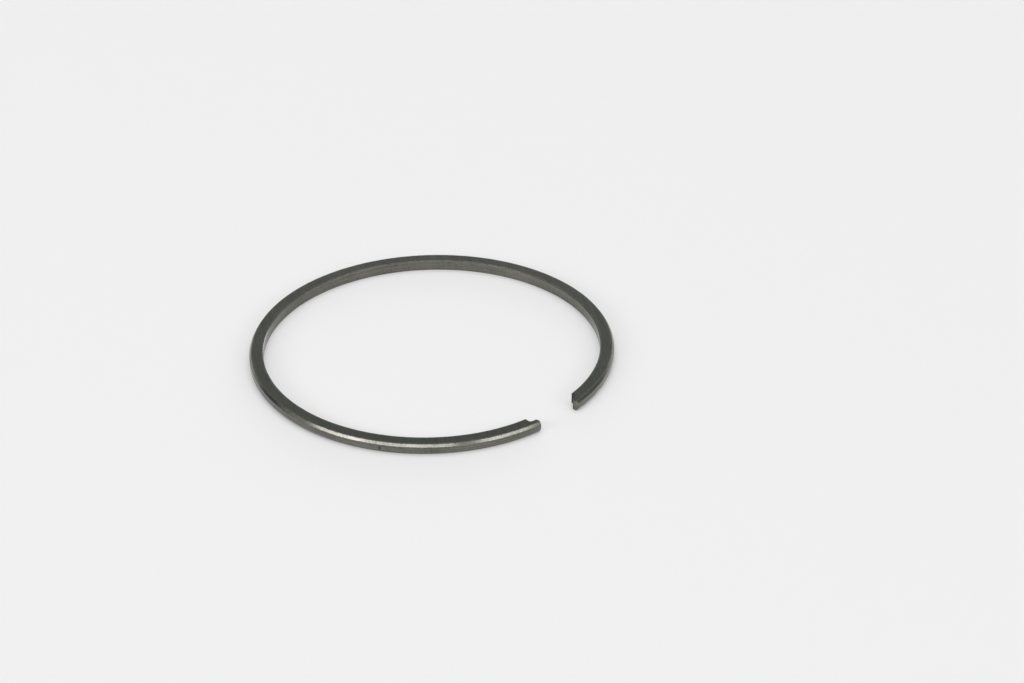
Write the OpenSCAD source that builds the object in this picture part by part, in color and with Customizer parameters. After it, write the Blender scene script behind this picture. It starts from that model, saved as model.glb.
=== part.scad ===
// Split piston ring in its free form, as it lies before it is closed into a cylinder.
// The axis is Z, the lower flank lies on Z = 0, and the gap opens towards +X.

/* [Fit] */
// Bore of the cylinder that the ring closes into
bore_d = 47; // [36:0.5:80]
// Gap between the ends of the free ring, on the middle line of the wall
free_gap = 6.6; // [4:0.1:10]
// Gap that is left between the ends when the ring is closed in its bore
closed_gap = 0.2; // [0.1:0.05:0.5]

/* [Section] */
// Axial height from flank to flank
ring_h = 1.5; // [1.2:0.1:2.5]
// Radial thickness of the wall
ring_t = 1.88; // [1.5:0.02:3]
// Radial depth of the two bevels beside the running face
bevel_t = 0.24; // [0.1:0.02:0.4]
// Axial height of each of those bevels
bevel_h = 0.38; // [0.1:0.02:0.5]
// Break of the two edges of the inner face
inner_break = 0.06; // [0.02:0.01:0.2]

/* [Ends] */
// Length of each pin notch along the ring, from the end face
notch_l = 1.1; // [0.6:0.02:2]
// Radial depth of each pin notch, from the inner face
notch_t = 0.92; // [0.6:0.02:1.2]
// Radius in the root of each pin notch
notch_r = 0.4; // [0.05:0.05:0.5]
// Radius of the upright inner edge of each end face, as far as the tongue beside the notch has room for it
tip_r = 0.35; // [0.05:0.05:0.4]
// Break of the upright outer edge of each end face
end_break = 0.1; // [0.04:0.01:0.2]

/* [Hidden] */
$fn = 240;

// How far a cut runs past the faces that it opens
past = 1;
// How far the wedge that cuts an arc out of its full circle reaches
reach = 2 * bore_d;
// Cosine and sine, from the back to the front, of the ways that the ring faces where one arc gives way to
// the next. These slopes of 3 to 4 have exact decimals, so that the arcs meet without a step.
turns = [[1, 0], [0.8, 0.6], [0, 1], [-0.8, 0.6], [-1, 0]];
// Number of arcs in each half
arcs = len(turns) - 1;
// Radius of the wall's middle line in the closed ring
middle_r = (bore_d - ring_t) / 2;
// Length of the middle line from the back to either end
half_l = middle_r * (180 - asin(closed_gap / bore_d)) * PI / 180;

// Way that the ring faces at the start of an arc, in degrees from the back
function facing(i) = atan2(turns[i].y, turns[i].x);

// Angle between two facings, in radians
function span(i) = (facing(i + 1) - facing(i)) * PI / 180;

// A length in whole microns, so that it too has exact decimals
function micron(length) = round(1000 * length) / 1000;

// Radius of an arc's middle line. A ring that is to press evenly on its bore has a free radius of
// 1 + slack * (1 + cos(facing)) times its closed one, and the arc takes the mean of that.
function arc_r(i, slack) =
    micron(middle_r * (1 + slack * (1 + (turns[i + 1].y - turns[i].y) / span(i))));

// Centre of an arc: it lies on the radius that the arc shares with the one before it, so the two are tangent
function centre(i, slack) = i == 0
    ? [0, 0]
    : centre(i - 1, slack) - (arc_r(i - 1, slack) - arc_r(i, slack)) * turns[i];

// Length of the middle line from the back to the start of an arc
function run(i, slack) = i == 0 ? 0 : run(i - 1, slack) + arc_r(i - 1, slack) * span(i - 1);

// Way that the ring faces at its end, from the length that is left for the last arc
function end_facing(slack) =
    facing(arcs - 1) + (half_l - run(arcs - 1, slack)) / arc_r(arcs - 1, slack) * 180 / PI;

// Gap that a slack leaves between the ends
function gap(slack) =
    2 * (arc_r(arcs - 1, slack) * sin(end_facing(slack)) - centre(arcs - 1, slack).y);

// Slack for the free gap: the gap is close to 3 * PI * slack * middle_r, and its ratio to that puts it right
rough_slack = (free_gap - closed_gap) / (3 * PI * middle_r);
slack = rough_slack * (free_gap - closed_gap) / (gap(rough_slack) - closed_gap);

// Centre, radius and outward direction of the end
end_centre = centre(arcs - 1, slack);
end_r = arc_r(arcs - 1, slack);
end_out = -[cos(end_facing(slack)), sin(end_facing(slack))];

// Lowest and highest X of the wall, at the back and at the outer corners of the ends
back_x = -arc_r(0, slack) - ring_t / 2;
front_x = (end_centre + (end_r + ring_t / 2) * end_out).x;

// Radius of the inner edge of an end face, kept clear of the root of the notch and of the outer break
tip_round = min(tip_r, notch_l - notch_r, (ring_t - notch_t - end_break) / 2);

// Section of the wall beside the axis of an arc, with the running face outside
module section(radius) {
    inner = radius - micron(ring_t / 2);
    outer = radius + micron(ring_t / 2);
    flank_inner = inner + micron(inner_break);
    flank_outer = outer - micron(bevel_t);
    polygon([
        [flank_inner, 0],
        [flank_outer, 0],
        [outer, bevel_h],
        [outer, ring_h - bevel_h],
        [flank_outer, ring_h],
        [flank_inner, ring_h],
        [inner, ring_h - inner_break],
        [inner, inner_break],
    ]);
}

// Cut right through the ring's height
module through_cut() {
    translate([0, 0, -past])
        linear_extrude(ring_h + 2 * past)
            children();
}

// Wall along one arc. The last one runs on past the end, which is cut with the rest of its outline.
module arc_wall(i) {
    translate(centre(i, slack))
        intersection() {
            rotate_extrude()
                section(arc_r(i, slack));
            through_cut()
                polygon([[0, 0], -reach * turns[i], -reach * turns[i + 1]]);
        }
}

// Outline of what lies beyond the end face, as far as the last arc runs on
module beyond_outline() {
    translate([-past, 0])
        square([ring_t + 2 * past, free_gap]);
}

// Outline of a pin notch, open to the inner face and to the end, with a round root
module notch_outline() {
    translate([-past, -notch_l])
        square([past + notch_t - notch_r, notch_l + past]);
    translate([-past, notch_r - notch_l])
        square([past + notch_t, notch_l - notch_r + past]);
    translate([notch_t - notch_r, notch_r - notch_l])
        circle(notch_r);
}

// Outline of what the round takes from the inner edge of the end face
module tip_round_outline() {
    translate([notch_t, -tip_round])
        difference() {
            translate([-past, 0])
                square([past + tip_round, past + tip_round]);
            translate([tip_round, 0])
                circle(tip_round);
        }
}

// Outline of what the break takes from the outer edge of the end face
module end_break_outline() {
    polygon([
        [ring_t, -end_break],
        [ring_t + past, -end_break - past],
        [ring_t + past, past],
        [ring_t - end_break - past, past],
    ]);
}

// One half of the ring, with its end worked: there X runs out from the inner face and Y along the ring
module half_ring() {
    difference() {
        for (i = [0 : arcs - 1])
            arc_wall(i);
        translate(end_centre)
            rotate(180 + end_facing(slack))
                translate([end_r - ring_t / 2, 0, 0])
                    through_cut() {
                        beyond_outline();
                        notch_outline();
                        tip_round_outline();
                        end_break_outline();
                    }
    }
}

// The whole ring, centred between its back and its ends
module piston_ring() {
    color("#4a4c46")
        translate([-(back_x + front_x) / 2, 0, 0]) {
            half_ring();
            mirror([0, 1, 0])
                half_ring();
        }
}

piston_ring();
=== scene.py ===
"""A split piston ring in its free form, lying on a pale floor.

Laid out as an add-on and run as a script: one operator carries the ring's section along its free form, and
another sets the floor, the lamps, the surroundings and the camera.
"""

import math
from types import SimpleNamespace

import bpy
import numpy as np
from bpy.props import FloatProperty, FloatVectorProperty, PointerProperty
from mathutils import Matrix, Vector


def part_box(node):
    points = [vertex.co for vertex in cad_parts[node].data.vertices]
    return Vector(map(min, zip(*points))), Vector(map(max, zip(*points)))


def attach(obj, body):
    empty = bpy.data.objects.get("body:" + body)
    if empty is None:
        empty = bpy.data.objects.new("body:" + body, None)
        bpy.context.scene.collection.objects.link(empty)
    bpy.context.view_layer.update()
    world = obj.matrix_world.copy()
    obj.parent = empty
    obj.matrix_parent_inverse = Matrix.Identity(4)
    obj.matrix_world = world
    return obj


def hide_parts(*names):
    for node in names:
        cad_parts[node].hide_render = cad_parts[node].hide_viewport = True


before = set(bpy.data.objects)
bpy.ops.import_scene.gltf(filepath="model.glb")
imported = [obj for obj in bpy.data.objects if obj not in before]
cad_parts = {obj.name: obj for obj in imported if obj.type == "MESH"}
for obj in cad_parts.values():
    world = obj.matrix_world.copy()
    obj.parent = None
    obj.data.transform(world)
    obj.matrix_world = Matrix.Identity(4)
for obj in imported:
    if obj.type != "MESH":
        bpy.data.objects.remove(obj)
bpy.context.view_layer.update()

bl_info = {
    "name": "Piston Ring",
    "version": (1, 0, 0),
    "blender": (4, 5, 0),
    "location": "3D View > Sidebar > Piston Ring",
    "description": "Builds a split piston ring in its free form, and the stage that shows it",
    "category": "Add Mesh",
}

NODE = "piston_ring"
EXPORT_MAP = "OFBake"  # the map that the export draws the finish on
MM = 0.001
RING_LOW, RING_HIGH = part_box(NODE)

# Cosine and sine of the facings, from the back to the front, at which one arc of the free form gives way to
# the next. These slopes of 3 to 4 are the CAD model's own.
TURNS = np.array([(1, 0), (0.8, 0.6), (0, 1), (-0.8, 0.6), (-1, 0)], float)
FACINGS = np.arctan2(TURNS[:, 1], TURNS[:, 0])
MICRON = 6  # decimals of a metre to which an arc's radius is rounded, as in the CAD model

# Rows of the surface: their step along the ring and beside the nick, how many of those lie on either side of
# the nick's middle, and how far before the end they start to follow the notch
ROW_STEP = 0.25 * MM
NICK_STEP = 0.035 * MM
NICK_ROWS = 8
END_RUN = 3 * MM

# Rows in each stretch of the inner outline near the end, and how far before and after the shoulder the outer
# outline has those of the root
FACE_ROWS = 6
CORNER_ROWS = 5
SHOULDER_ROWS = 5
ROOT_ROWS = 8
TONGUE_ROWS = 4
TIP_ROWS = 8
ROOT_SPAN = (-0.1 * MM, 0.35 * MM)

# Columns of the surface: those across a flank, the points in each round of either side, the longest step on
# either side, and the strip of the flank that a side takes in
FLANK_COLUMNS = 6
OUTER_ROUND = 4
INNER_ROUND = 3
OUTER_STEP = 0.06 * MM
INNER_STEP = 0.15 * MM
SIDE_MARGIN = 0.02 * MM

NICK_FADE = 0.25  # share of the wall over which the nick fades inwards
EDGE_TURN = math.radians(5)  # least turn of the section that counts as an edge
MAP_MARGIN = 0.25 * MM  # space round the strips of the export's map
# The notches are painted nearly as dark and matt as the flanks
NOTCH_FLANK_LOOK = 0.8  # how far the finish of the notches is that of the flanks, and not of the turned faces

# Ranges of the patterns, and the share of the next colour that they give: the thick coat's by clouds, patches
# and tool marks, the bared edge's by patches, and the dark colour's in grimy pits and in the nick, which is
# painted darker by the distance from its middle
CLOUD_COAT = {"From Min": 0.35, "From Max": 0.65, "To Min": 0.0, "To Max": 0.16}
PATCH_COAT = {"From Min": 0.4, "From Max": 0.7, "To Min": 0.0, "To Max": 0.22}
TOOL_COAT = {"From Min": 0.4, "From Max": 0.7, "To Min": 0.0, "To Max": 0.28}
EDGE_RUB = {"From Min": 0.42, "From Max": 0.6, "To Min": 0.25, "To Max": 0.06}
PIT_GRIME = {"From Min": 0.77, "From Max": 0.84, "To Min": 0.0, "To Max": 0.3}
NICK_DARKENING = {"From Min": 0.7, "From Max": 1.6, "To Min": 0.6, "To Max": 0.0}

# What thick coat, rubbing and grime add to the roughness, and what tool marks and pits add to the relief
COAT_ROUGHNESS = 0.14
RUB_ROUGHNESS = -0.06
GRIME_ROUGHNESS = 0.12
TOOL_RELIEF = 0.4
PIT_RELIEF = -0.4

# Length of a turning line and of a grinding mark over its width, and the angle of the marks to the X axis
LINE_RUN = 160
MARK_RUN = 30
MARK_TURN = math.radians(35)

# Floor: the radii in metres of its first and last ring of points, the number of rings and of points in each,
# and how far it lies below the ring
FLOOR_RADII = (0.05, 3)
FLOOR_RINGS = 24
FLOOR_POINTS = 96
FLOOR_BELOW = 0.02 * MM

# Brightest part of the surroundings: its azimuth from the camera's, to the right, and its elevation
BRIGHT_AZIMUTH = math.radians(90)
BRIGHT_ELEVATION = math.radians(65)

# Point of the floor that the camera looks at
LOOK_AT = (5.680 * MM, 9.892 * MM, 0)

# Lamps, all at one distance in metres: the azimuth from the camera's, positive to the right, the elevation,
# the width and the height that the ring sees, in degrees, and the radiance
LAMP_DISTANCE = 1.5
SOFT_BOXES = {
    "back_light": (172, 12, 70, 14, 4.0),
    "left_glow": (-86, 16, 26, 14, 0.6),
    "left_strip": (-58, 23, 26, 14, 4.8),
    "front_strip": (-16, 30.5, 56, 12, 3.7),
    "right_strip": (50, 26, 31, 12, 2.3),
    "right_glow": (47, 26, 68, 14, 0.8),
    "overhead": (180, 80, 60, 60, 1.2),
}


def linear(code):
    """Linear red, green and blue of an sRGB hex colour."""
    srgb = [int(code[i : i + 2], 16) / 255 for i in (1, 3, 5)]
    return tuple(c / 12.92 if c <= 0.04045 else ((c + 0.055) / 1.055) ** 2.4 for c in srgb)


def length(name, description, default_mm):
    """A length property, given in millimetres."""
    return FloatProperty(
        name=name,
        description=description,
        default=default_mm * MM,
        min=0,
        precision=5,
        subtype="DISTANCE",
        unit="LENGTH",
    )


def colour(name, description, code):
    """A colour property, given as an sRGB hex value."""
    return FloatVectorProperty(
        name=name, description=description, default=linear(code), size=3, min=0, max=1, subtype="COLOR"
    )


def share(name, description, default):
    """A property from 0 to 1."""
    return FloatProperty(name=name, description=description, default=default, min=0, max=1, subtype="FACTOR")


def angle(name, description, degrees):
    """An angle property, given in degrees."""
    return FloatProperty(
        name=name, description=description, default=math.radians(degrees), subtype="ANGLE", unit="ROTATION"
    )


class RingShape(bpy.types.PropertyGroup):
    """Sizes of the ring, as in the CAD model, with the small rounds that its edges have."""

    bore: length("Bore", "Bore of the cylinder that the ring closes into", 47)
    free_gap: length("Free gap", "Gap between the ends of the free ring, on the middle line", 6.6)
    closed_gap: length("Closed gap", "Gap that is left when the ring is closed in its bore", 0.2)
    height: length("Height", "Axial height from flank to flank", RING_HIGH.z / MM)
    wall: length("Wall", "Radial thickness", 1.88)
    bevel_depth: length("Bevel depth", "Radial depth of the bevels beside the running face", 0.24)
    bevel_height: length("Bevel height", "Axial height of each of those bevels", 0.38)
    inner_break: length("Inner break", "Break of the edges of the inner face and of the notches", 0.06)
    notch_corner: length("Notch corner", "Round of the upright corner where a notch begins", 0.09)
    notch_length: length("Notch length", "Length of a pin notch from the end face", 1.1)
    notch_depth: length("Notch depth", "Radial depth of a pin notch from the inner face", 0.92)
    notch_root: length("Notch root", "Radius in the root of a pin notch", 0.4)
    tip_round: length("Tip round", "Round of the upright inner edge of an end face", 0.35)
    end_break: length("End break", "Round of the upright outer edge of an end face", 0.12)
    end_round: length("End round", "Round of the other edges of an end face", 0.04)
    edge_round: length("Edge round", "Round between a flank and a bevel or a break", 0.03)
    face_round: length("Face round", "Round between the running face and a bevel", 0.08)
    edge_reach: length("Edge reach", "How far wear reaches from an edge", 0.06)
    nick_facing: angle("Nick facing", "Where the nick in the running face lies, from the back", 120.5)
    nick_rise: length("Nick rise", "Height of the middle of the nick", 0.6)
    nick_length: length("Nick length", "Half length of the nick along the ring", 0.15)
    nick_height: length("Nick height", "Half height of the nick", 0.26)
    nick_depth: length("Nick depth", "Depth of the nick", 0.06)


class RingFinish(bpy.types.PropertyGroup):
    """Colours, gloss and grain of phosphated grey iron."""

    ground: colour("Ground faces", "Colour of the flanks, and nearly that of the notches", "#3E4138")
    turned: colour("Turned faces", "Colour of the running face, the bevels and the inner face", "#82817A")
    thick: colour("Thick coat", "Colour that the faces tend to where the coat is thicker", "#151613")
    worn: colour("Bared edge", "Colour of edges that handling has rubbed", "#92928A")
    # This colour darkens grimy pits, and the nick is painted darker with it too
    grime_and_nick_dark: colour("Grime", "Colour of what lies in the nick and in pits", "#262723")
    gloss: share("Gloss", "Roughness of the turned faces, where the coat is thinnest", 0.18)
    matt: share("Matt", "Roughness of the ground faces, where the coat is thickest", 0.4)
    crystal: length("Crystal patch", "Size of the patches that the coat's crystals gather in", 0.32)
    cloud: length("Cloud", "Size of the clouds of thicker and thinner coat", 5.0)
    turning: length("Turning line", "Width of the lines that the turning tool left", 0.16)
    grinding: length("Grinding mark", "Width of the marks that the grinding wheel left", 0.3)
    pit: length("Pit spacing", "Size of the pattern that sparse pits lie in", 0.45)
    relief: length("Relief", "Height of the grain of the surface", 0.0016)


class Stage(bpy.types.PropertyGroup):
    """Floor, light and camera."""

    floor: colour("Floor", "Colour of the floor", "#EFEFEF")
    lift: share("Lift", "Share of the floor that keeps its colour in any shade", 0.2)
    room: share("Room", "Brightness of the darkest part of the surroundings", 0.17)
    ceiling: share("Ceiling", "Brightness of their brightest part, overhead at the right", 0.46)
    lens: FloatProperty(
        name="Lens", description="Focal length on a 36 mm frame", default=113.97, unit="CAMERA"
    )
    distance: length("Distance", "From the camera to the point that it looks at", 440.18)
    azimuth: angle("Azimuth", "Way round to the camera, from the front towards the gap", 44.677)
    elevation: angle("Elevation", "Height of the camera above the horizon", 31.476)
    roll: angle("Roll", "Turn of the camera about its own axis", 0.268)


def free_form(shape):
    """Middle line of the free ring, as four tangent arcs in each half.

    A ring that is to press evenly on its bore has a free radius of 1 + slack * (1 + cos(facing)) times its
    closed one, with the facing counted from the back. Each arc has the mean of that over its own turn, and
    its centre lies on the radius that it shares with the arc before it. The slack is close to the gap over
    3 * pi radii, and the gap that this leaves puts it right.
    """
    closed_radius = (shape.bore - shape.wall) / 2
    half_length = closed_radius * (math.pi - math.asin(shape.closed_gap / shape.bore))
    spans = np.diff(FACINGS)

    def arcs(slack):
        mean_cosine = np.diff(TURNS[:, 1]) / spans
        radii = np.round(closed_radius * (1 + slack * (1 + mean_cosine)), MICRON)
        steps = np.diff(radii)[:, None] * TURNS[1:-1]
        centres = np.vstack([np.zeros(2), np.cumsum(steps, axis=0)])
        end = FACINGS[-2] + (half_length - (radii * spans)[:-1].sum()) / radii[-1]
        gap = 2 * (radii[-1] * math.sin(end) - centres[-1, 1])
        return SimpleNamespace(radii=radii, centres=centres, end=end, gap=gap)

    spring = shape.free_gap - shape.closed_gap
    rough_slack = spring / (3 * math.pi * closed_radius)
    form = arcs(rough_slack * spring / (arcs(rough_slack).gap - shape.closed_gap))
    form.centres[:, 0] += RING_LOW.x + form.radii[0] + shape.wall / 2
    return form


def outward(facing):
    """Unit vectors out of the ring: the back faces -X, and the half with positive facings lies at -Y."""
    return -np.stack([np.cos(facing), np.sin(facing)], -1)


def in_wall(form, shape, facing, depth):
    """Points in the wall: the arc's centre, plus its radius at a depth from the inner face, by the facing."""
    arc = np.clip(np.searchsorted(FACINGS, facing, side="right") - 1, 0, len(form.radii) - 1)
    radius = form.radii[arc] - shape.wall / 2 + depth
    return form.centres[arc] + radius[..., None] * outward(facing)


def nick_spot(form, shape):
    """Plan of the middle of the nick, on the running face."""
    return in_wall(form, shape, shape.nick_facing, shape.wall)


def spread(start, end, count):
    """Evenly spaced numbers after the start, up to the end."""
    return np.linspace(start, end, count + 1)[1:]


def half_rows(form, shape):
    """Rows of the half with positive facings, from the back to the end face.

    Each row is a straight line in plan, from a point on the inner outline to one on the outer outline, with
    the direction into the wall at either point and how far the flanks have come in. Round the body the rows
    are radial. Near the end the inner outline follows the notch: along the inner face, round the corner, down
    the shoulder, through the root and along the tongue. The outer outline runs on to the end, and the last
    rows draw in along a quarter circle on every side.
    """
    # Even rows round the body, and finer ones about the nick, which lies on the last arc but one
    last = form.end - END_RUN / form.radii[-1]
    nick = np.arange(-NICK_ROWS, NICK_ROWS + 1) * NICK_STEP / form.radii[-2] + shape.nick_facing
    even = np.linspace(0, last, round(last * form.radii.mean() / ROW_STEP))
    clear = np.abs(even - shape.nick_facing) > nick[-1] - shape.nick_facing
    facing = np.sort(np.concatenate([even[clear], nick]))

    # The end's own axes: depth out from the inner face, and length along the ring, up to 0 at the end face
    out = outward(form.end)
    along = np.array([-out[1], out[0]])
    corner = in_wall(form, shape, form.end, 0)

    def to_plan(depth, run):
        depth, run = np.broadcast_arrays(depth, run)
        return depth[:, None] * out + run[:, None] * along

    def near_end(depth, run):
        return corner + to_plan(depth, run)

    # In those axes the inner face, which is an arc, has sagged a little below depth 0 where the shoulder is
    inner_radius = form.radii[-1] - shape.wall / 2
    shoulder, nose, root = -shape.notch_length, shape.notch_corner, shape.notch_root
    sag = math.sqrt(inner_radius**2 - shape.notch_length**2) - inner_radius
    root_start = shape.notch_depth - root
    face_stop = form.end + np.arcsin((shoulder - nose) / inner_radius)

    on_face = spread(last, face_stop, FACE_ROWS)
    turn = spread(0, math.pi / 2, CORNER_ROWS)
    on_shoulder = spread(sag + nose, root_start, SHOULDER_ROWS)
    in_root = spread(0, math.pi / 2, ROOT_ROWS)
    on_tongue = spread(shoulder + root, -shape.tip_round, TONGUE_ROWS)
    bend = spread(0, math.pi / 2, TIP_ROWS)
    drawn, left = 1 - np.cos(bend), 1 - np.sin(bend)
    inner = np.vstack(
        [
            in_wall(form, shape, facing, 0),
            in_wall(form, shape, on_face, 0),
            near_end(sag + nose * (1 - np.cos(turn)), shoulder - nose * (1 - np.sin(turn))),
            near_end(on_shoulder, shoulder),
            near_end(root_start + root * np.sin(in_root), shoulder + root * (1 - np.cos(in_root))),
            near_end(shape.notch_depth, on_tongue),
            near_end(shape.notch_depth + shape.tip_round * drawn, -shape.tip_round * left),
        ]
    )
    inner_in = np.vstack(
        [
            outward(facing),
            outward(on_face),
            to_plan(np.cos(turn), -np.sin(turn)),
            to_plan(0 * on_shoulder, -1),
            to_plan(np.sin(in_root), -np.cos(in_root)),
            to_plan(1, 0 * on_tongue),
            to_plan(1, 0 * bend),
        ]
    )

    # The outer outline has as many rows up to the root, beside it, along the tongue and round its tip
    root_from, root_to = (shoulder + off for off in ROOT_SPAN)
    run = np.concatenate(
        [
            spread(-END_RUN, root_from, FACE_ROWS + CORNER_ROWS + SHOULDER_ROWS),
            spread(root_from, root_to, ROOT_ROWS),
            spread(root_to, -shape.end_break, TONGUE_ROWS),
        ]
    )
    outer_facing = np.concatenate([facing, form.end + run / (inner_radius + shape.wall)])
    outer_tip = near_end(shape.wall - shape.end_break * drawn, -shape.end_break * left)
    outer = np.vstack([in_wall(form, shape, outer_facing, shape.wall), outer_tip])
    outer_in = np.vstack([-outward(outer_facing), to_plan(-1, 0 * bend)])
    drop = np.concatenate([np.zeros(len(inner) - TIP_ROWS), shape.end_round * drawn])
    notched = np.arange(len(inner)) >= len(facing) + FACE_ROWS
    return inner, inner_in, outer, outer_in, drop, notched


def rounded(corners, radii, steps):
    """An open line through corners, with each but the first and last made an arc tangent to both its sides.

    The arc's centre lies on the line that halves the corner, at the radius over the sine of half its angle.
    """
    corners = np.asarray(corners, float)
    parts = [corners[:1]]
    for before, at, after, radius in zip(corners, corners[1:], corners[2:], radii):
        a, b = (before - at) / np.linalg.norm(before - at), (after - at) / np.linalg.norm(after - at)
        half = math.acos(np.clip(a @ b, -1, 1)) / 2
        centre = at + (a + b) / np.linalg.norm(a + b) * radius / math.sin(half)
        start, end = (at + side * radius / math.tan(half) - centre for side in (a, b))
        sweep = math.pi - 2 * half
        t = np.linspace(0, 1, steps)[:, None]
        arc = (np.sin((1 - t) * sweep) * start + np.sin(t * sweep) * end) / math.sin(sweep)
        parts.append(centre + arc)
    parts.append(corners[-1:])
    return np.vstack(parts)


def refined(line, most):
    """The line with its long steps divided evenly, so that none is longer than most."""
    size = np.linalg.norm(np.diff(line, axis=0), axis=1)
    counts = np.maximum(1, np.ceil(size / most)).astype(int)
    pieces = [a + (b - a) * np.arange(n)[:, None] / n for a, b, n in zip(line, line[1:], counts)]
    return np.vstack([*pieces, line[-1:]])


def ring_surface(shape):
    """Points of the ring on a grid of rows along it and columns round its section, and values at them.

    A column is a place on the section: across the lower flank, over the outer side, back across the upper
    flank and down the inner side. On either side it is an inset from the outline, along the direction into
    the wall, and a height. Across a flank it is a share of the way from the one side to the other. The nick
    is a bell-shaped hollow in the running face. With the points go the distances along the ring and round its
    section, how far the finish of each point is that of ground faces, and how near to an edge it lies.
    """
    form = free_form(shape)
    inner, inner_in, outer, outer_in, drop, notched = half_rows(form, shape)
    flip = np.array([1, -1])
    inner, inner_in, outer, outer_in = (
        np.vstack([half[:0:-1] * flip, half]) for half in (inner, inner_in, outer, outer_in)
    )
    drop, notched = (np.concatenate([half[:0:-1], half]) for half in (drop, notched))

    top, margin = shape.height, SIDE_MARGIN
    deep, high, brk = shape.bevel_depth, shape.bevel_height, shape.inner_break
    outer_side = rounded(
        [(deep + margin, 0), (deep, 0), (0, high), (0, top - high), (deep, top), (deep + margin, top)],
        [shape.edge_round, shape.face_round, shape.face_round, shape.edge_round],
        OUTER_ROUND,
    )
    inner_side = rounded(
        [(brk + margin, top), (brk, top), (0, top - brk), (0, brk), (brk, 0), (brk + margin, 0)],
        [shape.edge_round] * 4,
        INNER_ROUND,
    )
    outer_side, inner_side = refined(outer_side, OUTER_STEP), refined(inner_side, INNER_STEP)

    def beside(outline, into, side):
        plan = outline[:, None] + into[:, None] * side[None, :, :1]
        return np.concatenate([plan, np.broadcast_to(side[None, :, 1:], (*plan.shape[:2], 1))], -1)

    out_side, in_side = beside(outer, outer_in, outer_side), beside(inner, inner_in, inner_side)
    across = spread(0, 1, FLANK_COLUMNS + 1)[:-1][None, :, None]
    lower = in_side[:, -1:] + (out_side[:, :1] - in_side[:, -1:]) * across
    upper = out_side[:, -1:] + (in_side[:, :1] - out_side[:, -1:]) * across
    points = np.concatenate([lower, out_side, upper, in_side], axis=1)
    middle = top / 2
    points[..., 2] = middle + (points[..., 2] - middle) * (1 - drop / middle)[:, None]

    nick_out = outward(shape.nick_facing)
    nick_along = np.array([-nick_out[1], nick_out[0]])
    off = points[..., :2] - nick_spot(form, shape)
    bell = np.exp(
        -(((off @ nick_along) / shape.nick_length) ** 2)
        - ((points[..., 2] - shape.nick_rise) / shape.nick_height) ** 2
        - ((off @ nick_out) / (shape.wall * NICK_FADE)) ** 2
    )
    points[..., :2] -= shape.nick_depth * bell[..., None] * nick_out

    row_middle = (inner + outer) / 2
    along = np.concatenate([[0], np.cumsum(np.linalg.norm(np.diff(row_middle, axis=0), axis=1))])
    section = points[len(points) // 2]
    sides = np.roll(section, -1, axis=0) - section
    around = np.concatenate([[0], np.cumsum(np.linalg.norm(sides, axis=1))])

    # The flanks are ground and the end faces not. The notches are painted nearly as dark and matt as the
    # flanks, and no edge in a notch is rubbed
    flank = np.isclose(section[:, 2], 0) | np.isclose(section[:, 2], top)
    in_notch = notched[:, None] & (np.arange(len(section)) >= len(section) - len(inner_side))
    ground = np.where(in_notch, NOTCH_FLANK_LOOK, flank)
    ground[[0, -1]] = 0
    edge = np.where(in_notch, 0, edge_nearness(along, around, sides, shape.edge_reach))
    return points, along, around, ground, edge


def edge_nearness(along, around, sides, reach):
    """How near each point of the grid lies to an edge: a bell over the distance to the nearest one.

    The edges of the section are where it turns by more than a few degrees. The end faces have theirs at the
    first and last rows but one, so that the flat end faces themselves are clear of them.
    """
    ways = sides / np.linalg.norm(sides, axis=1)[:, None]
    turn = np.arccos(np.clip((ways * np.roll(ways, 1, axis=0)).sum(1), -1, 1))
    corner = around[:-1][turn > EDGE_TURN]
    off = np.abs(around[:-1, None] - corner)
    off = np.minimum(off, around[-1] - off).min(1)
    end_off = np.minimum(along - along[1], along[-2] - along)
    off = np.minimum(off[None], np.abs(end_off)[:, None])
    near = np.exp(-((off / reach) ** 2))
    near[[0, -1]] = 0
    return near


def fan(rim, middle):
    """Triangles from each point of a rim to the next one and to a middle."""
    return np.stack([rim, np.roll(rim, -1, axis=0), np.broadcast_to(middle, rim.shape)], 1)


def closed_quads(number):
    """Quads between each row of numbered points and the next, closed round the row."""
    beside = np.roll(number, -1, axis=1)
    return np.stack([number[:-1], number[1:], beside[1:], beside[:-1]], -1).reshape(-1, 4)


def end_places(rim):
    """Distances across an end face and up it, for the corners of the triangles of its fan."""
    plan = rim[:, :2] - rim[0, :2]
    off = np.linalg.norm(plan, axis=1)
    across = plan @ (plan[off.argmax()] / off.max())
    places = np.stack([across - across.min(), rim[:, 2]], -1)
    return fan(places, places.mean(0)).reshape(-1, 2)


def corner_places(start, stop, around, shift, ends):
    """Places of all face corners on a map: each row of quads from its start to its stop, then both ends."""
    u = np.stack([start, stop, stop, start], -1)[:, None]
    v = np.stack([around[:-1], around[:-1], around[1:], around[1:]], -1)[None] + shift[:, None, None]
    return np.concatenate([np.stack(np.broadcast_arrays(u, v), -1).reshape(-1, 2), *ends])


def strip_places(along, around, ends):
    """A map that fills its square for the export: the wall cut across into equal strips, one above another.

    The number of strips is about the root of the ring's length over its girth, and the two end faces lie one
    above the other in a column beside the strips.
    """
    # The strips start a margin in, and the column of end faces two margins past them
    margin = MAP_MARGIN
    count = round(math.sqrt(along[-1] / around[-1]))
    run, rise = along[-1] / count, around[-1] + margin
    strip = np.minimum((along[:-1] + along[1:]) / 2 // run, count - 1)
    start, stop = (edge - strip * run + margin for edge in (along[:-1], along[1:]))
    column = [end + (run + 3 * margin, margin + number * rise) for number, end in enumerate(ends)]
    return corner_places(start, stop, around + margin, strip * rise, column) / (count * rise + margin)


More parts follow.
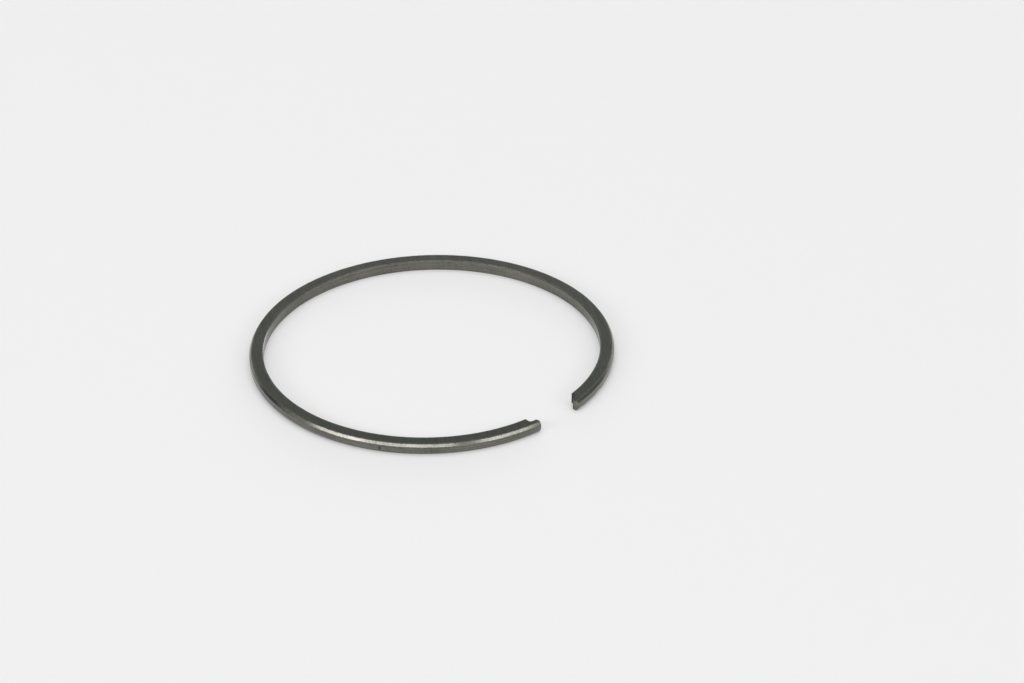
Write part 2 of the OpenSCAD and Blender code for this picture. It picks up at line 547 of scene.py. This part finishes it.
def ring_mesh(shape):
    """The ring as one closed mesh: the grid's quads, closed round the section, and a fan at either end."""
    points, along, around, ground, edge = ring_surface(shape)
    rows, columns = points.shape[:2]
    number = np.arange(rows * columns).reshape(rows, columns)
    rims = [(0, slice(None)), (-1, slice(None, None, -1))]
    middles = [points[rim].mean(0) for rim in rims]
    fans = [fan(number[rim], number.size + count) for count, rim in enumerate(rims)]
    faces = closed_quads(number).tolist() + np.vstack(fans).tolist()
    mesh = bpy.data.meshes.new(NODE)
    mesh.from_pydata(np.vstack([points.reshape(-1, 3), *middles]), [], faces)

    flats = [end_places(points[rim]) for rim in rims]
    upright = [flat[:, ::-1] for flat in flats]
    maps = {
        "wall": corner_places(along[:-1], along[1:], around, np.zeros(rows - 1), upright),
        EXPORT_MAP: strip_places(along, around, flats),
    }
    for name, places in maps.items():
        layer = mesh.uv_layers.new(name=name)
        layer.uv.foreach_set("vector", places.astype(np.float32).ravel())
    for name, values in (("ground", ground), ("edge", edge)):
        attribute = mesh.attributes.new(name, "FLOAT", "POINT")
        at_middles = np.zeros(len(middles))
        attribute.data.foreach_set("value", np.append(values, at_middles).astype(np.float32))
    mesh.polygons.foreach_set("use_smooth", np.ones(len(mesh.polygons), bool))
    mesh.update()
    mesh.validate()
    return mesh


def add(tree, kind, inputs=None, output=None, **settings):
    """Adds a node with its own settings, and with its sockets set to values or linked from other sockets.

    A socket is given by its name, or by its number where a node has several of one name. Returns the named
    output, or the first one.
    """
    node = tree.nodes.new(kind)
    for name, value in settings.items():
        setattr(node, name, value)
    for key, value in (inputs or {}).items():
        number = isinstance(key, int)
        socket = node.inputs[key] if number else next(s for s in node.inputs if s.name == key and s.enabled)
        if isinstance(value, bpy.types.NodeSocket):
            tree.links.new(value, socket)
        else:
            socket.default_value = value
    return next((s for s in node.outputs if s.enabled and output in (None, s.name)), None)


def new_material(name):
    """A material with an empty node tree."""
    material = bpy.data.materials.new(name)
    material.use_nodes = True
    material.node_tree.nodes.clear()
    return material, material.node_tree


def phosphated_grey_iron(finish, shape):
    """Grey iron, turned and ground, then dipped in a phosphate bath that leaves a thin dark crystalline coat.

    The eye sees a dark grey metal: darkest and most matt on the ground flanks, nearly so in the notches, and
    paler, warmer and glossier on the turned faces. It has a faint mottle where crystals gather, broad clouds
    where the coat is thicker, fine lines along the turned faces, straight faint marks across the flanks, and
    edges that handling has rubbed a little brighter.
    """
    material, tree = new_material("phosphated_grey_iron")
    place = add(tree, "ShaderNodeTexCoord", output="Object")
    wall = add(tree, "ShaderNodeUVMap", uv_map="wall")
    ground = add(tree, "ShaderNodeAttribute", attribute_name="ground", output="Fac")
    edge = add(tree, "ShaderNodeAttribute", attribute_name="edge", output="Fac")

    # The crystals are some 10 microns long, too fine to show, so they are drawn as the patches they gather in
    crystal_noise = {"Vector": place, "Scale": 1 / finish.crystal, "Detail": 3.0, "Roughness": 0.6}
    crystals = add(tree, "ShaderNodeTexNoise", crystal_noise)
    cloud_noise = {"Vector": place, "Scale": 1 / finish.cloud, "Detail": 2.0, "Roughness": 0.5}
    clouds = add(tree, "ShaderNodeTexNoise", cloud_noise)

    # Turning lines run along the ring. Real ones are about 50 microns apart, and these are wider, to show
    line_scale = (1 / (LINE_RUN * finish.turning), 1 / finish.turning, 1)
    on_lines = add(tree, "ShaderNodeMapping", {"Vector": wall, "Scale": line_scale})
    lines = add(tree, "ShaderNodeTexNoise", {"Vector": on_lines, "Scale": 1.0, "Detail": 2.0})

    # Grinding marks cross the flanks in one direction, and they too are wider than the real ones
    mark_run = MARK_RUN * finish.grinding
    across = add(tree, "ShaderNodeMapping", {"Vector": place, "Rotation": (0, 0, MARK_TURN)})
    mark_scale = (1 / mark_run, 1 / finish.grinding, 1 / mark_run)
    on_marks = add(tree, "ShaderNodeMapping", {"Vector": across, "Scale": mark_scale})
    marks = add(tree, "ShaderNodeTexNoise", {"Vector": on_marks, "Scale": 1.0, "Detail": 2.0})
    tooling = add(tree, "ShaderNodeMix", {"Factor": ground, "A": lines, "B": marks}, data_type="FLOAT")

    # Colour: each face's tone, then the coat's clouds, patches and tool marks, rubbed edges, pits and nick
    tones = {"Factor": ground, "A": (*finish.turned, 1), "B": (*finish.ground, 1)}
    colour = add(tree, "ShaderNodeMix", tones, data_type="RGBA")
    cloud_coat = add(tree, "ShaderNodeMapRange", {"Value": clouds, **CLOUD_COAT})
    patch_coat = add(tree, "ShaderNodeMapRange", {"Value": crystals, **PATCH_COAT})
    tool_coat = add(tree, "ShaderNodeMapRange", {"Value": tooling, **TOOL_COAT})
    coat = add(tree, "ShaderNodeMath", {0: cloud_coat, 1: patch_coat}, operation="ADD")
    coat = add(tree, "ShaderNodeMath", {0: coat, 1: tool_coat}, operation="ADD")
    thicker = {"Factor": coat, "A": colour, "B": (*finish.thick, 1)}
    colour = add(tree, "ShaderNodeMix", thicker, data_type="RGBA")

    rub = add(tree, "ShaderNodeMapRange", {"Value": crystals, **EDGE_RUB})
    wear = add(tree, "ShaderNodeMath", {0: edge, 1: rub}, operation="MULTIPLY")
    rubbed = {"Factor": wear, "A": colour, "B": (*finish.worn, 1)}
    colour = add(tree, "ShaderNodeMix", rubbed, data_type="RGBA")

    spots = add(tree, "ShaderNodeTexNoise", {"Vector": place, "Scale": 1 / finish.pit, "Detail": 0.0})
    pits = add(tree, "ShaderNodeMapRange", {"Value": spots, **PIT_GRIME})
    # Pits are darkened with grime, and the nick is painted darker: fully near its middle, fading out by 1.6
    # times its size
    middle = (*nick_spot(free_form(shape), shape), shape.nick_rise)
    reach = (shape.nick_length, shape.nick_length, shape.nick_height)
    from_nick = add(tree, "ShaderNodeVectorMath", {0: place, 1: middle}, operation="SUBTRACT")
    from_nick = add(tree, "ShaderNodeVectorMath", {0: from_nick, 1: reach}, operation="DIVIDE")
    off_nick = add(tree, "ShaderNodeVectorMath", {0: from_nick}, operation="LENGTH")
    in_nick = add(tree, "ShaderNodeMapRange", {"Value": off_nick, **NICK_DARKENING})
    grime_and_darkening = add(tree, "ShaderNodeMath", {0: pits, 1: in_nick}, operation="MAXIMUM")
    pits_and_nick = {"Factor": grime_and_darkening, "A": colour, "B": (*finish.grime_and_nick_dark, 1)}
    colour = add(tree, "ShaderNodeMix", pits_and_nick, data_type="RGBA")

    # Roughness and relief: thick coat scatters, rubbed edges shine, tool marks stand up and pits go in
    finishes = {"Factor": ground, "A": finish.gloss, "B": finish.matt}
    rough = add(tree, "ShaderNodeMix", finishes, data_type="FLOAT")
    rough = add(tree, "ShaderNodeMath", {0: coat, 1: COAT_ROUGHNESS, 2: rough}, operation="MULTIPLY_ADD")
    rough = add(tree, "ShaderNodeMath", {0: wear, 1: RUB_ROUGHNESS, 2: rough}, operation="MULTIPLY_ADD")
    rough = add(tree, "ShaderNodeMath", {0: grime_and_darkening, 1: GRIME_ROUGHNESS, 2: rough}, operation="MULTIPLY_ADD")
    relief = add(tree, "ShaderNodeMath", {0: tooling, 1: TOOL_RELIEF, 2: crystals}, operation="MULTIPLY_ADD")
    relief = add(tree, "ShaderNodeMath", {0: pits, 1: PIT_RELIEF, 2: relief}, operation="MULTIPLY_ADD")
    bump = add(tree, "ShaderNodeBump", {"Height": relief, "Strength": 1.0, "Distance": finish.relief})
    metal = {"Metallic": 1.0, "Base Color": colour, "Roughness": rough, "Normal": bump}
    shader = add(tree, "ShaderNodeBsdfPrincipled", metal)
    add(tree, "ShaderNodeOutputMaterial", {"Surface": shader})
    return material


def matt_paper(stage):
    """Smooth white paper: evenly matt, with no grain that shows at this size.

    To the camera, and in reflections, a share of it keeps its own colour in any shade, so that the ring's
    shade on it stays pale.
    """
    material, tree = new_material("matt_white_paper")
    matt = {"Base Color": (*stage.floor, 1), "Roughness": 0.9, "Specular IOR Level": 0.0}
    paper = add(tree, "ShaderNodeBsdfPrincipled", matt)
    glow = add(tree, "ShaderNodeEmission", {"Color": (*stage.floor, 1), "Strength": 1.0})
    rays = tree.nodes.new("ShaderNodeLightPath").outputs
    direct = {0: rays["Is Camera Ray"], 1: rays["Is Glossy Ray"]}
    seen = add(tree, "ShaderNodeMath", direct, operation="MAXIMUM")
    seen = add(tree, "ShaderNodeMath", {0: seen, 1: rays["Is Transmission Ray"]}, operation="MAXIMUM")
    lift = add(tree, "ShaderNodeMath", {0: seen, 1: stage.lift}, operation="MULTIPLY")
    surface = add(tree, "ShaderNodeMixShader", {0: lift, 1: paper, 2: glow})
    add(tree, "ShaderNodeOutputMaterial", {"Surface": surface})
    return material


def from_ring(azimuth, elevation):
    """Unit vector from the ring towards an azimuth, counted from -Y towards +X, and an elevation."""
    flat = math.cos(elevation)
    return Vector((math.sin(azimuth) * flat, -math.cos(azimuth) * flat, math.sin(elevation)))


def soft_box(name, azimuth, elevation, width, height, radiance):
    """A lamp that spans two angles as seen from the ring, with an even radiance over its face."""
    lamp = bpy.data.lights.new(name, "AREA")
    lamp.shape = "RECTANGLE"
    lamp.size = 2 * LAMP_DISTANCE * math.tan(width / 2)
    lamp.size_y = 2 * LAMP_DISTANCE * math.tan(height / 2)
    lamp.energy = radiance * math.pi * lamp.size * lamp.size_y
    away = from_ring(azimuth, elevation)
    holder = bpy.data.objects.new(name, lamp)
    turn = away.to_track_quat("Z", "Y").to_matrix().to_4x4()
    holder.matrix_world = Matrix.Translation(away * LAMP_DISTANCE) @ turn
    holder.visible_camera = False
    bpy.context.scene.collection.objects.link(holder)


class BuildRing(bpy.types.Operator):
    """Carries the ring's section along its free form, and gives it its finish"""

    bl_idname = "piston_ring.build_ring"
    bl_label = "Build Ring"

    def execute(self, context):
        scene = context.scene
        ring = bpy.data.objects.new("ring", ring_mesh(scene.ring_shape))
        ring.data.materials.append(phosphated_grey_iron(scene.ring_finish, scene.ring_shape))
        scene.collection.objects.link(ring)
        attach(ring, "root")
        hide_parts(NODE)
        return {"FINISHED"}


class SetStage(bpy.types.Operator):
    """Lays the floor, and places the lamps, the surroundings and the camera"""

    bl_idname = "piston_ring.set_stage"
    bl_label = "Set Stage"

    def execute(self, context):
        scene, stage = context.scene, context.scene.ring_stage
        self.lay_floor(scene, stage)
        self.light(scene, stage)
        self.place_camera(scene, stage)
        scene.view_settings.view_transform = "Standard"
        return {"FINISHED"}

    def lay_floor(self, scene, stage):
        """A round floor: rings of points at radii that grow by equal steps."""
        radius = np.linspace(*FLOOR_RADII, FLOOR_RINGS)
        way = np.linspace(0, 2 * math.pi, FLOOR_POINTS, endpoint=False)
        flat = radius[:, None, None] * np.stack([np.cos(way), np.sin(way)], -1)
        points = np.concatenate([flat, np.full((*flat.shape[:2], 1), -FLOOR_BELOW)], -1)
        number = np.arange(points[..., 0].size).reshape(points.shape[:2])
        faces = closed_quads(number).tolist() + [number[0].tolist()]
        mesh = bpy.data.meshes.new("floor")
        mesh.from_pydata(points.reshape(-1, 3), [], faces)
        mesh.materials.append(matt_paper(stage))
        floor = bpy.data.objects.new("floor", mesh)
        scene.collection.objects.link(floor)

    def light(self, scene, stage):
        """A dim room, brightest overhead at the right, with soft boxes on all sides and overhead."""
        world = bpy.data.worlds.new("dim_room")
        world.use_nodes = True
        tree = world.node_tree
        tree.nodes.clear()
        way = add(tree, "ShaderNodeTexCoord", output="Generated")
        to_brightest = from_ring(stage.azimuth + BRIGHT_AZIMUTH, BRIGHT_ELEVATION)
        near = add(tree, "ShaderNodeVectorMath", {0: way, 1: to_brightest}, "Value", operation="DOT_PRODUCT")
        levels = {"Value": near, "To Min": stage.room, "To Max": stage.ceiling}
        level = add(tree, "ShaderNodeMapRange", levels)
        room = add(tree, "ShaderNodeBackground", {"Color": (1, 1, 1, 1), "Strength": level})
        add(tree, "ShaderNodeOutputWorld", {"Surface": room})
        scene.world = world
        for name, (azimuth, *angles, radiance) in SOFT_BOXES.items():
            way_round = stage.azimuth + math.radians(azimuth)
            soft_box(name, way_round, *map(math.radians, angles), radiance)

    def place_camera(self, scene, stage):
        """Looks from an azimuth and an elevation at a point of the floor beside the ring's middle."""
        camera = bpy.data.cameras.new("camera")
        camera.lens = stage.lens
        away = from_ring(stage.azimuth, stage.elevation)
        holder = bpy.data.objects.new("camera", camera)
        turn = away.to_track_quat("Z", "Y").to_matrix().to_4x4() @ Matrix.Rotation(-stage.roll, 4, "Z")
        holder.matrix_world = Matrix.Translation(Vector(LOOK_AT) + away * stage.distance) @ turn
        scene.collection.objects.link(holder)
        scene.camera = holder


class PistonRingPanel(bpy.types.Panel):
    """Sizes, finish and stage of the ring"""

    bl_idname = "VIEW3D_PT_piston_ring"
    bl_label = "Piston Ring"
    bl_space_type = "VIEW_3D"
    bl_region_type = "UI"
    bl_category = "Piston Ring"

    def draw(self, context):
        scene = context.scene
        for group, operator in (
            (scene.ring_shape, None),
            (scene.ring_finish, BuildRing.bl_idname),
            (scene.ring_stage, SetStage.bl_idname),
        ):
            box = self.layout.box()
            for name in group.__annotations__:
                box.prop(group, name)
            if operator:
                box.operator(operator)


CLASSES = (RingShape, RingFinish, Stage, BuildRing, SetStage, PistonRingPanel)
GROUPS = {"ring_shape": RingShape, "ring_finish": RingFinish, "ring_stage": Stage}


def register():
    for cls in CLASSES:
        bpy.utils.register_class(cls)
    for name, group in GROUPS.items():
        setattr(bpy.types.Scene, name, PointerProperty(type=group))


def unregister():
    for name in GROUPS:
        delattr(bpy.types.Scene, name)
    for cls in reversed(CLASSES):
        bpy.utils.unregister_class(cls)


def main():
    register()
    bpy.ops.piston_ring.build_ring()
    bpy.ops.piston_ring.set_stage()


if __name__ == "__main__":
    main()
